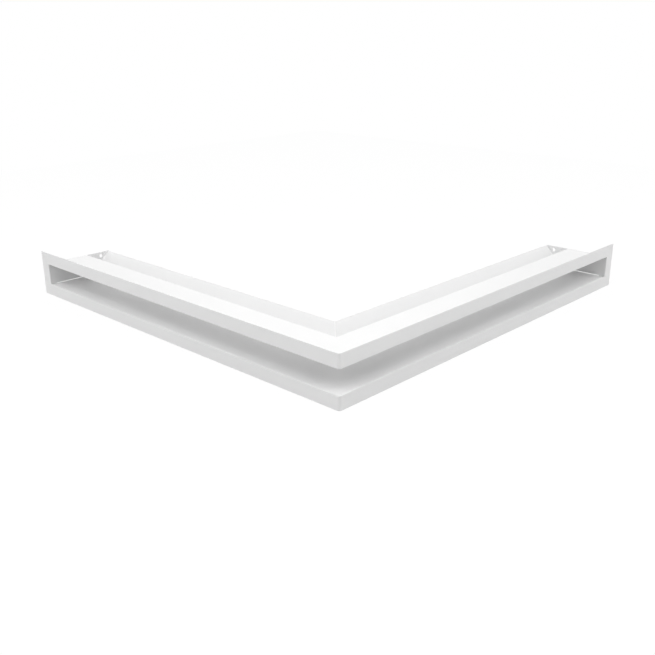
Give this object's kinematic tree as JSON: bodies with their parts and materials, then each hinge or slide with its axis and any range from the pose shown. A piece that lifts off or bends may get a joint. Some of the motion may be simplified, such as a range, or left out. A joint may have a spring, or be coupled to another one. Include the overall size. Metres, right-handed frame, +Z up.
{
  "type": "corner vent grille",
  "caption": "Corner air slot grille for a fireplace casing: a folded white steel frame with a duct and slanted back walls behind its slot.",
  "frame": {"origin": "centre of the bounding box, on the plane of the frame's lower edge", "axes": "+Z up. The outside corner points to -X and -Y, the right arm runs along +X and the left arm along +Y."},
  "size_m": [0.56, 0.56, 0.06],
  "materials": {
    "frame_coat": "fine matt white powder coat",
    "duct_coat": "fine matt white powder coat"
  },
  "bodies": {
    "root": {"front_frame": "frame_coat", "top_plate": "duct_coat", "floor_plate": "duct_coat", "left_back_wall": "duct_coat", "right_back_wall": "duct_coat", "left_end_plate": "duct_coat", "right_end_plate": "duct_coat"}
  },
  "joints": []
}
